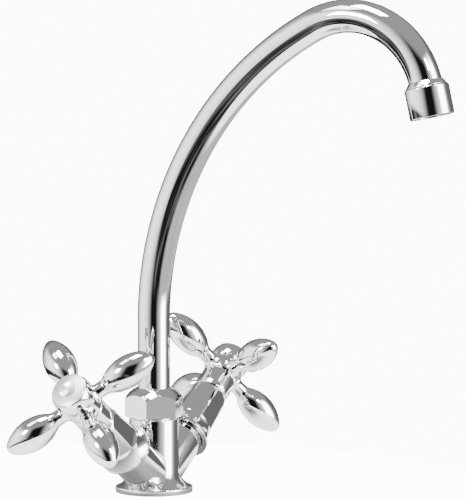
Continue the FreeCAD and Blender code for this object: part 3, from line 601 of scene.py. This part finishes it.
def carve(shape, tool, operation):
    """Boolean of two bmeshes with the exact solver; both are used up."""
    blocks = []
    for label, part in (("carve_blank", shape), ("carve_tool", tool)):
        mesh = bpy.data.meshes.new(label)
        part.to_mesh(mesh)
        part.free()
        block = bpy.data.objects.new(label, mesh)
        bpy.context.scene.collection.objects.link(block)
        blocks.append(block)
    blank, cutter = blocks
    modifier = blank.modifiers.new("carve", "BOOLEAN")
    modifier.operation = operation
    modifier.solver = "EXACT"
    modifier.object = cutter
    bpy.context.view_layer.update()
    result = blank.evaluated_get(bpy.context.evaluated_depsgraph_get())
    carved = bmesh.new()
    carved.from_mesh(result.to_mesh())
    result.to_mesh_clear()
    for block in blocks:
        mesh = block.data
        bpy.data.objects.remove(block)
        bpy.data.meshes.remove(mesh)
    bmesh.ops.remove_doubles(carved, verts=carved.verts, dist=WELD)
    return carved


def placed(shape, place):
    """Move a bmesh by a matrix."""
    bmesh.ops.transform(shape, matrix=place, verts=shape.verts)
    return shape


def about_z(degrees):
    """A turn about the Z axis."""
    return Matrix.Rotation(math.radians(degrees), 4, "Z")


def branch_place(name, phase=0.0):
    """Matrix whose Z axis runs out along one branch, read from the handle's joint."""
    joint = next(item for item in frame["joints"] if item["name"] == f"{name}_handle_turn")
    axis = Vector(joint["axis"])
    lean = Matrix.Rotation(math.atan2(axis.x, axis.z), 4, "Y")
    return Matrix.Translation(Vector(joint["pos_m"])) @ lean @ about_z(phase)


def outlet_place():
    """Matrix whose Z axis runs out of the tube's end, the way the water leaves."""
    first = math.radians(TUBE_LONG_TURN)
    whole = math.radians(TUBE_LONG_TURN + TUBE_SHORT_TURN)
    knee_across = TUBE_LONG_BEND * (1 - math.cos(first))
    knee_up = TUBE_RISE + TUBE_LONG_BEND * math.sin(first)
    across = knee_across + TUBE_SHORT_BEND * (math.cos(first) - math.cos(whole))
    rise = knee_up + TUBE_SHORT_BEND * (math.sin(whole) - math.sin(first))
    end = Vector((0, -across, TUBE_FOOT + rise)) * MM
    return Matrix.Translation(end) @ Matrix.Rotation(whole, 4, "X")


# ------------------------------------------------------------------ pieces
class FAUCET_OT_body(bpy.types.Operator):
    """Deck body: flange, flared column and two raked branches"""

    bl_idname = "faucet.body"
    bl_label = "Deck body"

    def execute(self, context):
        """Build the casting's skin."""
        section = Outline(0, 0).line(FLANGE_RADIUS, 0, soft=0.25)
        section.line(FLANGE_RADIUS, FLANGE_LIP, soft=0.7)
        section.line(FLANGE_RADIUS - FLANGE_LEDGE, FLANGE_LIP)
        section.arc(COLUMN_RADIUS, FLARE_TOP, FLARE_BEND, LEFT, steps=20)
        section.line(COLUMN_RADIUS, COLUMN_HEIGHT, soft=0.8).line(NECK_RADIUS, COLUMN_HEIGHT)
        section.line(NECK_RADIUS, NECK_TOP, soft=0.4).line(0, NECK_TOP)
        column = section.turned()
        for name in SIDES:
            branch = Outline(0, 0).line(BRANCH_RADIUS, 0)
            branch.line(BRANCH_RADIUS, BRANCH_LENGTH, soft=0.4).line(0, BRANCH_LENGTH)
            column = carve(column, placed(branch.turned(), branch_place(name)), "UNION")
        deck = bmesh.ops.bisect_plane(
            column, geom=column.verts[:] + column.edges[:] + column.faces[:],
            plane_co=(0, 0, 0), plane_no=(0, 0, -1), clear_outer=True)
        bmesh.ops.holes_fill(column, edges=only(bmesh.types.BMEdge, deck["geom_cut"]))
        new_piece(
            "deck_body", column, "cast_chrome", "deck_body", ["body_casting"],
            sharp=25.0)
        return {"FINISHED"}


class FAUCET_OT_spout_nut(bpy.types.Operator):
    """Hexagon nut with a domed chamfer that holds the spout"""

    bl_idname = "faucet.spout_nut"
    bl_label = "Spout nut"

    def execute(self, context):
        """Build the nut's skin."""
        corner = NUT_FLATS / math.sqrt(3)
        stock = corner + NUT_STOCK
        bore = TUBE_RADIUS + NUT_TUBE_GAP
        socket = NECK_RADIUS + NUT_NECK_GAP
        blank = Outline(socket, NUT_FOOT, soft=0.3)
        blank.line(corner - NUT_CHAMFER_WIDTH, NUT_FOOT, soft=0.2)
        blank.line(stock, NUT_FOOT + NUT_CHAMFER_HEIGHT).line(stock, NUT_TOP - NUT_DOME_DROP)
        blank.arc(bore + NUT_LIP, NUT_TOP, NUT_DOME_BEND, RIGHT, soft=0.3, steps=16)
        blank.line(bore, NUT_TOP, soft=0.3).line(bore, NUT_CEILING)
        blank.line(socket, NUT_CEILING).closed()
        low = NUT_FOOT - NUT_CUT_MARGIN
        high = NUT_TOP + NUT_CUT_MARGIN
        prism = Outline(0, low).line(corner, low).line(corner, high).line(0, high)
        tool = placed(prism.turned(NUT_SIDES), about_z(NUT_TURN))
        nut = carve(blank.turned(), tool, "INTERSECT")
        new_piece(
            "spout_nut_skin", nut, "chrome", "deck_body", ["spout_nut"], sharp=10.0)
        return {"FINISHED"}


def shroud_shape():
    """A bonnet shroud along Z: a turned bell whose stem is cut to flats."""
    rim_top = SHROUD_FOOT + SHROUD_RIM_HEIGHT
    bell = Outline(SHROUD_MOUTH_RADIUS, SHROUD_FOOT, soft=0.2)
    bell.line(SHROUD_RIM_RADIUS, SHROUD_FOOT, soft=0.5)
    bell.line(SHROUD_RIM_RADIUS, rim_top, soft=0.5).line(SHROUD_BELL_RADIUS, rim_top)
    waist = rim_top + SHROUD_BELL_HEIGHT
    bell.arc(SHROUD_WAIST_RADIUS, waist, SHROUD_BELL_BEND, LEFT, steps=16)
    bell.line(SHROUD_SHOULDER_RADIUS, SHROUD_TOP - SHROUD_SHOULDER_DROP)
    bell.arc(SHROUD_CROWN_RADIUS, SHROUD_TOP, SHROUD_CROWN_BEND, RIGHT, soft=0.3, steps=10)
    bell.line(SHROUD_SPINDLE_HOLE, SHROUD_TOP, soft=0.2)
    bell.line(SHROUD_SPINDLE_HOLE, SHROUD_CEILING).line(SHROUD_BORE, SHROUD_CEILING)
    bell.line(SHROUD_BORE, SHROUD_CONE_TOP).line(SHROUD_VALVE_RADIUS, SHROUD_CONE_FOOT)
    bell.line(SHROUD_VALVE_RADIUS, SHROUD_MOUTH_TOP)
    bell.line(SHROUD_MOUTH_RADIUS, SHROUD_MOUTH_TOP).closed()
    # The cutter's corners stand further out than its flats.
    spread = 1 / math.cos(math.pi / SHROUD_FLATS)
    flat_foot = rim_top + SHROUD_FLAT_RISE
    over_top = SHROUD_TOP + SHROUD_CUT_MARGIN
    runout = flat_foot - (SHROUD_CUT_RADIUS / spread - SHROUD_FLAT_FOOT_RADIUS)
    flats = Outline(SHROUD_FLAT_FOOT_RADIUS * spread, flat_foot)
    flats.line(SHROUD_FLAT_TOP_RADIUS * spread, SHROUD_TOP)
    flats.line(SHROUD_CUT_TOP_RADIUS * spread, over_top).line(SHROUD_CUT_RADIUS, over_top)
    flats.line(SHROUD_CUT_RADIUS, runout).closed()
    return carve(bell.turned(), flats.turned(SHROUD_FLATS), "DIFFERENCE")


class FAUCET_OT_shrouds(bpy.types.Operator):
    """Bonnet shrouds: flared bells with six long flats"""

    bl_idname = "faucet.shrouds"
    bl_label = "Bonnet shrouds"

    def execute(self, context):
        """Build one shroud for each side."""
        for name in SIDES:
            shroud = placed(shroud_shape(), branch_place(name, SHROUD_PHASE[name]))
            new_piece(
                f"{name}_shroud", shroud, "chrome", "deck_body", [f"{name}_bonnet_shroud"],
                sharp=9.0)
        return {"FINISHED"}


def button_seat():
    """Height of the flat on the ball's front that the index button sits on."""
    return BALL_CENTRE + math.sqrt(BALL_RADIUS ** 2 - BALL_FRONT_RADIUS ** 2)


def hub_shape():
    """The handle's hub along Z: collar, groove, barrel and ball front."""
    back = SHROUD_TOP + HUB_SHROUD_GAP
    hub = Outline(HUB_BORE, HUB_BACK, soft=0.3).line(HUB_BORE, back)
    hub.line(COLLAR_MOUTH_RADIUS, back, soft=0.2)
    hub.line(COLLAR_RADIUS, HUB_BACK + COLLAR_START, soft=0.4)
    hub.line(COLLAR_RADIUS, HUB_BACK + COLLAR_END, soft=0.4)
    hub.line(GROOVE_RADIUS, HUB_BACK + GROOVE_START, soft=0.3)
    hub.line(BARREL_RADIUS, HUB_BACK + BARREL_START, soft=0.4)
    hub.line(BARREL_RADIUS, HANDLE_REACH + BARREL_END, soft=0.5)
    ball_back = BALL_CENTRE - math.sqrt(BALL_RADIUS ** 2 - BALL_BACK_RADIUS ** 2)
    hub.line(BALL_BACK_RADIUS, ball_back)
    hub.arc(BALL_RADIUS, BALL_CENTRE, BALL_RADIUS, RIGHT, steps=14)
    hub.arc(BALL_FRONT_RADIUS, button_seat(), BALL_RADIUS, RIGHT, soft=0.2, steps=14)
    well_floor = HANDLE_REACH + WELL_FLOOR
    socket = HANDLE_REACH - SPINDLE_SOCKET
    hub.line(WELL_RADIUS, button_seat()).line(WELL_RADIUS, well_floor)
    hub.line(SCREW_HOLE, well_floor).line(SCREW_HOLE, socket).line(HUB_BORE, socket).closed()
    return hub.turned()


def lobe_shape(flare):
    """One lobe along X: flared root, slim neck, egg-shaped body. Its arcs meet smoothly."""
    swell = LOBE_WIDE - LOBE_NECK
    reach = LOBE_BACK_BEND + LOBE_BLEND_BEND
    blend_start = LOBE_WIDEST - math.sqrt(2 * reach * swell - swell * swell)
    share = LOBE_BACK_BEND / reach
    blend_end = LOBE_WIDEST - (LOBE_WIDEST - blend_start) * share
    blend_height = LOBE_WIDE - LOBE_BACK_BEND + (reach - swell) * share
    tip_centre = LOBE_TIP - LOBE_TIP_BEND
    nose = tip_centre - LOBE_WIDEST
    squares = nose * nose + LOBE_WIDE * LOBE_WIDE - LOBE_TIP_BEND * LOBE_TIP_BEND
    front = squares / (2 * (LOBE_WIDE - LOBE_TIP_BEND))
    tip_share = LOBE_TIP_BEND / (front - LOBE_TIP_BEND)
    tip_start = tip_centre + nose * tip_share
    run = flare * LOBE_FLARE_STRETCH
    lobe = Outline(LOBE_ROOT, 0).line(LOBE_ROOT, LOBE_NECK + flare)
    lobe.line(LOBE_FLARE_START, LOBE_NECK + flare)
    lobe.arc(LOBE_FLARE_START + run, LOBE_NECK, cap_bend(run, flare), RIGHT, steps=8)
    lobe.line(blend_start, LOBE_NECK)
    lobe.arc(blend_end, blend_height, LOBE_BLEND_BEND, RIGHT, steps=12)
    lobe.arc(LOBE_WIDEST, LOBE_WIDE, LOBE_BACK_BEND, LEFT, steps=18)
    lobe.arc(tip_start, (front - LOBE_WIDE) * tip_share, front, LEFT, steps=18)
    lobe.arc(LOBE_TIP, 0, LOBE_TIP_BEND, LEFT, steps=12)
    return lobe.turned(LOBE_STEPS, Vector((1, 0, 0)))


class FAUCET_OT_cross_handles(bpy.types.Operator):
    """Cross handles: a turned hub with four egg-shaped lobes"""

    bl_idname = "faucet.cross_handles"
    bl_label = "Cross handles"

    def execute(self, context):
        """Build one handle for each side."""
        flare = sizes().neck_flare / MM
        for name in SIDES:
            hub = hub_shape()
            lobes = lobe_shape(flare)
            first = lobes.verts[:] + lobes.edges[:] + lobes.faces[:]
            for degrees in (90, 180, 270):
                copied = bmesh.ops.duplicate(lobes, geom=first)
                verts = only(bmesh.types.BMVert, copied["geom"])
                bmesh.ops.transform(lobes, matrix=about_z(degrees), verts=verts)
            placed(lobes, Matrix.Translation(UP * HANDLE_REACH * MM))
            handle = carve(hub, lobes, "UNION")
            placed(handle, branch_place(name, HANDLE_PHASE[name]))
            new_piece(
                f"{name}_handle", handle, "cast_chrome", f"{name}_handle",
                [f"{name}_cross_handle"], sharp=24.0)
        return {"FINISHED"}


class FAUCET_OT_buttons(bpy.types.Operator):
    """Index buttons: domed discs with a plain shallow dimple"""

    bl_idname = "faucet.buttons"
    bl_label = "Index buttons"

    def execute(self, context):
        """Build one button for each side."""
        seat = button_seat()
        stem_end = seat - BUTTON_STEM_LENGTH
        dimple = sizes().dimple_radius / MM
        bend = cap_bend(BUTTON_RADIUS, BUTTON_DOME)
        fall = bend - math.sqrt(bend * bend - dimple * dimple)
        shoulder = seat + BUTTON_EDGE + BUTTON_DOME - fall
        hollow_bend = cap_bend(dimple, BUTTON_HOLLOW)
        for name in SIDES:
            button = Outline(0, stem_end).line(BUTTON_STEM_RADIUS, stem_end, soft=0.3)
            button.line(BUTTON_STEM_RADIUS, seat).line(BUTTON_RADIUS, seat, soft=0.15)
            button.line(BUTTON_RADIUS, seat + BUTTON_EDGE, soft=0.35)
            button.arc(dimple, shoulder, bend, RIGHT, soft=0.5, steps=20)
            button.arc(0, shoulder - BUTTON_HOLLOW, hollow_bend, LEFT, steps=12)
            shape = placed(button.turned(), branch_place(name))
            new_piece(
                f"{name}_button", shape, "button_white", f"{name}_handle",
                [f"{name}_index_button"])
        return {"FINISHED"}


class FAUCET_OT_tube(bpy.types.Operator):
    """Spout tube: one circle swept up, round a long arc and round a short arc"""

    bl_idname = "faucet.tube"
    bl_label = "Spout tube"

    def execute(self, context):
        """Build the tube with its wall."""
        tube = bmesh.new()
        bmesh.ops.create_circle(
            tube, cap_ends=False, segments=TUBE_SIDES, radius=TUBE_RADIUS * MM)
        bmesh.ops.translate(tube, verts=tube.verts, vec=UP * TUBE_FOOT * MM)
        front = tube.edges[:]
        for rise in (TUBE_FIRST_RISE, TUBE_RISE - TUBE_FIRST_RISE):
            risen = bmesh.ops.extrude_edge_only(tube, edges=front)
            verts = only(bmesh.types.BMVert, risen["geom"])
            bmesh.ops.translate(tube, verts=verts, vec=UP * rise * MM)
            front = only(bmesh.types.BMEdge, risen["geom"])
        ring = verts + front
        first = math.radians(TUBE_LONG_TURN)
        long_centre = Vector((0, -TUBE_LONG_BEND, TUBE_FOOT + TUBE_RISE))
        slack = TUBE_LONG_BEND - TUBE_SHORT_BEND
        short_centre = long_centre + Vector((0, slack * math.cos(first), slack * math.sin(first)))
        for centre, degrees in ((long_centre, TUBE_LONG_TURN), (short_centre, TUBE_SHORT_TURN)):
            bent = bmesh.ops.spin(
                tube, geom=ring, cent=centre * MM, axis=(1, 0, 0), angle=math.radians(degrees),
                steps=TUBE_BEND_STEPS)
            ring = bent["geom_last"]
        bmesh.ops.remove_doubles(tube, verts=tube.verts, dist=WELD)
        bmesh.ops.recalc_face_normals(tube, faces=tube.faces)
        piece = new_piece("spout_tube_skin", tube, "chrome", "spout", ["spout_tube"])
        wall = piece.modifiers.new("wall", "SOLIDIFY")
        wall.thickness = TUBE_WALL * MM
        wall.offset = -1
        return {"FINISHED"}


class FAUCET_OT_outlet(bpy.types.Operator):
    """Outlet: tapered ferrule on the tube's end and the aerator housing"""

    bl_idname = "faucet.outlet"
    bl_label = "Outlet"

    def execute(self, context):
        """Build the ferrule and the housing."""
        place = outlet_place()
        bore = TUBE_RADIUS + FERRULE_TUBE_GAP
        ferrule = Outline(bore, -FERRULE_COLLAR_HEIGHT)
        ferrule.line(bore + FERRULE_COLLAR_LIP, -FERRULE_COLLAR_HEIGHT, soft=0.1)
        ferrule.line(FERRULE_COLLAR_RADIUS, -FERRULE_COLLAR_EDGE, soft=0.2)
        ferrule.line(FERRULE_COLLAR_RADIUS, 0).line(FERRULE_THREAD_RADIUS, 0)
        ferrule.line(FERRULE_THREAD_RADIUS, FERRULE_LENGTH).line(FERRULE_BORE, FERRULE_LENGTH)
        ferrule.line(FERRULE_BORE, FERRULE_STOP).line(bore, FERRULE_STOP).closed()
        new_piece(
            "ferrule_skin", placed(ferrule.turned(), place), "chrome", "spout",
            ["outlet_ferrule"])
        ledge = HOUSING_LENGTH - HOUSING_MOUTH_DEPTH
        housing = Outline(HOUSING_THREAD_RADIUS, HOUSING_BACK)
        housing.line(HOUSING_RADIUS - HOUSING_BEVEL, HOUSING_BACK, soft=0.3)
        housing.line(HOUSING_RADIUS, HOUSING_BACK + HOUSING_BEVEL, soft=0.3)
        housing.line(HOUSING_RADIUS, HOUSING_LENGTH, soft=0.7)
        housing.line(HOUSING_MOUTH_RADIUS, HOUSING_LENGTH, soft=0.4)
        housing.line(HOUSING_MOUTH_RADIUS, ledge).line(HOUSING_BORE, ledge)
        housing.line(HOUSING_BORE, HOUSING_THREAD_END)
        housing.line(HOUSING_THREAD_RADIUS, HOUSING_THREAD_END).closed()
        new_piece(
            "housing_skin", placed(housing.turned(), place), "chrome", "spout",
            ["aerator_housing"])
        return {"FINISHED"}


class FAUCET_OT_works(bpy.types.Operator):
    """Finishes of the rings, seals, valves and other carried-over pieces"""

    bl_idname = "faucet.works"
    bl_label = "Works and seals"

    def execute(self, context):
        """Give every CAD node that is still shown the finish of its slot."""
        for row in frame["record"]["subparts"]:
            node = frame["nodes"][row["node"]]
            if not node.hide_render:
                node.data.materials.clear()
                node.data.materials.append(finish(row["material_slot"]))
                smooth_with_edges(node.data, NODE_SHARP_ANGLE)
        return {"FINISHED"}


# ------------------------------------------------------------------ studio
class FAUCET_OT_studio(bpy.types.Operator):
    """Plain pale floor, soft light and the camera"""

    bl_idname = "faucet.studio"
    bl_label = "Studio"

    def execute(self, context):
        """Build the stage."""
        self.make_floor()
        self.make_surroundings()
        self.make_lights()
        self.make_camera()
        return {"FINISHED"}

    def make_floor(self):
        """A plain disc at deck height whose rim fades into the pale background."""
        floor = bmesh.new()
        bmesh.ops.create_circle(floor, cap_ends=True, segments=96, radius=FLOOR_RADIUS)
        mesh = bpy.data.meshes.new("floor")
        floor.to_mesh(mesh)
        floor.free()
        material, paint = new_material("floor")
        measure = {"operation": "LENGTH"}
        reach = paint.add("ShaderNodeVectorMath", measure, {0: paint.place()}, output=1)
        fade_start, fade_end = FLOOR_FADE
        rim = reach.step(FLOOR_RADIUS * fade_start, FLOOR_RADIUS * fade_end)
        # Painted light: seen in mirrors the floor glows, and it is painted darker near the base as a contact
        # shadow.
        painted_light_and_shadow = reach.step(*FLOOR_PAINTED_SHADOW_REACH) * FLOOR_PAINTED_LIGHT
        paint.shade({
            "Base Color": tint(colours().floor, FLOOR_SHADE), "Roughness": 0.7,
            "Alpha": 1 - rim, "Emission Color": tuple(colours().floor),
            "Emission Strength": paint.seen_or_lit(BACKGROUND_LIGHT, painted_light_and_shadow)})
        mesh.materials.append(material)
        piece = bpy.data.objects.new("floor", mesh)
        bpy.context.scene.collection.objects.link(piece)

    def make_surroundings(self):
        """A pale room: soft panels at both sides, a dark gap behind the viewer, a grey ceiling and
        a blotchy depth below that is lighter at the right."""
        world = bpy.data.worlds.new("studio")
        world.use_nodes = True
        bpy.context.scene.world = world
        paint = Paint(world.node_tree)
        heading = paint.add("ShaderNodeTexCoord", output="Generated")
        split = paint.node("ShaderNodeSeparateXYZ", {}, {0: heading})
        across, along, up = (Signal(paint, split.outputs[index]) for index in range(3))
        right = across * VIEW_RIGHT.x + along * VIEW_RIGHT.y
        toward = across * VIEW_BACK.x + along * VIEW_BACK.y
        bearing = right.math("ARCTAN2", toward) * math.degrees(1)
        walls = bearing.math("ABSOLUTE").step(*WALL_BEARINGS) * WALL_LIGHT + GAP_LIGHT
        for centre, half_width, fade, strength in PANELS:
            aside = (bearing - centre).math("ABSOLUTE")
            walls = walls + (1 - aside.step(half_width, half_width + fade)) * strength
        high = up.step(*CEILING_HEIGHTS)
        blotches = paint.noise(5.0, detail=3.0, where=heading).step(0.42, 0.7)
        right_depth = bearing.step(*DEPTH_RIGHT_BEARINGS) * DEPTH_RIGHT_LIGHT
        depth = GAP_LIGHT + blotches * DEPTH_LIGHT + right_depth
        low = 1 - up.step(*DEPTH_HEIGHTS)
        light = (walls * (1 - high) + high * CEILING_LIGHT) * (1 - low) + depth * low
        backing = paint.add("ShaderNodeBackground", {}, {
            "Strength": paint.seen_or_lit(BACKGROUND_LIGHT, light)})
        paint.node("ShaderNodeOutputWorld", {}, {"Surface": backing})

    def make_lights(self):
        """Soft boxes round the viewer and above."""
        ahead = Vector((VIEW_BACK.x, VIEW_BACK.y, 0)).normalized()
        for name, bearing, elevation, reach, size, power in SOFT_BOXES:
            turn, lift = math.radians(bearing), math.radians(elevation)
            level = ahead * math.cos(turn) + VIEW_RIGHT * math.sin(turn)
            place = LIGHT_AIM + (level * math.cos(lift) + UP * math.sin(lift)) * reach
            light = bpy.data.lights.new(name, "AREA")
            light.size = size
            light.energy = power
            lamp = bpy.data.objects.new(name, light)
            lamp.location = place
            lamp.rotation_euler = (LIGHT_AIM - place).to_track_quat("-Z", "Y").to_euler()
            bpy.context.scene.collection.objects.link(lamp)

    def make_camera(self):
        """The viewing angle of the photograph, for an image of 465 by 500."""
        camera = bpy.data.cameras.new("camera")
        camera.sensor_width = SENSOR_WIDTH
        camera.lens = CAMERA_FOCAL_PIXELS * SENSOR_WIDTH / IMAGE_HEIGHT
        camera.clip_start = 0.1
        camera.clip_end = 100.0
        viewer = bpy.data.objects.new("camera", camera)
        bpy.context.scene.collection.objects.link(viewer)
        target = VIEW_RIGHT * CAMERA_AIM_RIGHT + VIEW_UP * CAMERA_AIM_UP
        turn = Matrix((VIEW_RIGHT, VIEW_UP, VIEW_BACK)).transposed().to_4x4()
        viewer.matrix_world = Matrix.Translation(target + VIEW_BACK * CAMERA_DISTANCE) @ turn
        bpy.context.scene.camera = viewer


# ------------------------------------------------------------------ panel and registration
PIECES = (
    FAUCET_OT_body, FAUCET_OT_spout_nut, FAUCET_OT_shrouds, FAUCET_OT_cross_handles,
    FAUCET_OT_buttons, FAUCET_OT_tube, FAUCET_OT_outlet, FAUCET_OT_works, FAUCET_OT_studio)


class FAUCET_PT_panel(bpy.types.Panel):
    """Buttons that build the faucet piece by piece"""

    bl_idname = "FAUCET_PT_panel"
    bl_label = "Faucet"
    bl_space_type = "VIEW_3D"
    bl_region_type = "UI"
    bl_category = "Faucet"

    def draw(self, context):
        """List the settings and the pieces."""
        for group in (context.scene.faucet_sizes, context.scene.faucet_colours):
            for name in group.__annotations__:
                self.layout.prop(group, name)
        for piece in PIECES:
            self.layout.operator(piece.bl_idname)


CLASSES = (FaucetSizes, FaucetColours, *PIECES, FAUCET_PT_panel)


def register():
    """Add the classes and settings."""
    for item in CLASSES:
        bpy.utils.register_class(item)
    bpy.types.Scene.faucet_sizes = bpy.props.PointerProperty(type=FaucetSizes)
    bpy.types.Scene.faucet_colours = bpy.props.PointerProperty(type=FaucetColours)


def unregister():
    """Remove the settings and classes."""
    del bpy.types.Scene.faucet_colours
    del bpy.types.Scene.faucet_sizes
    for item in reversed(CLASSES):
        bpy.utils.unregister_class(item)


def main():
    """Build every piece in order."""
    register()
    bpy.ops.faucet.body()
    bpy.ops.faucet.spout_nut()
    bpy.ops.faucet.shrouds()
    bpy.ops.faucet.cross_handles()
    bpy.ops.faucet.buttons()
    bpy.ops.faucet.tube()
    bpy.ops.faucet.outlet()
    bpy.ops.faucet.works()
    bpy.ops.faucet.studio()
    bpy.context.view_layer.update()


if __name__ == "__main__":
    main()
